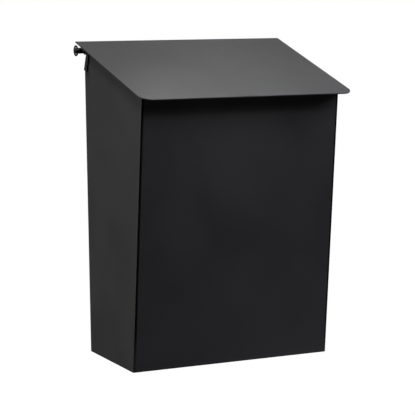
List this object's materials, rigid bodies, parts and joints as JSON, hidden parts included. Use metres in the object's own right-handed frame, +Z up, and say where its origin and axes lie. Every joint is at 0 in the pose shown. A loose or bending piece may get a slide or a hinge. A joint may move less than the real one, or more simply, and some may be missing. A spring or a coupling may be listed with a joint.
{
  "type": "letter box",
  "caption": "Wall letter box of black folded sheet steel, wider at the top, with a sloping lid that lifts on a rod along its rear edge so that post drops in from above.",
  "frame": {"origin": "middle of the wall screw pattern, on the wall plane that the pressed bosses touch", "axes": "+X to the right seen from the front, +Y into the wall, +Z up"},
  "size_m": [0.2842, 0.1831, 0.3803],
  "materials": {
    "body_coat": "fine matt black powder coat",
    "lid_coat": "fine matt black powder coat",
    "rod_steel": "black coated round bar",
    "clip_steel": "blackened spring steel"
  },
  "bodies": {
    "box": {"front_and_sides": "body_coat", "back_panel": "body_coat", "floor_panel": "body_coat", "hinge_rod": "rod_steel", "rod_clip_left": "clip_steel"},
    "lid": {"lid": "lid_coat", "lid_lug_left": "lid_coat", "lid_lug_right": "lid_coat"}
  },
  "joints": [
    {"name": "lid_hinge", "type": "hinge", "parent": "box", "child": "lid", "pos_m": [0, -0.01676, 0.1795], "axis": [-1, 0, 0], "range_deg": [0, 110]}
  ]
}
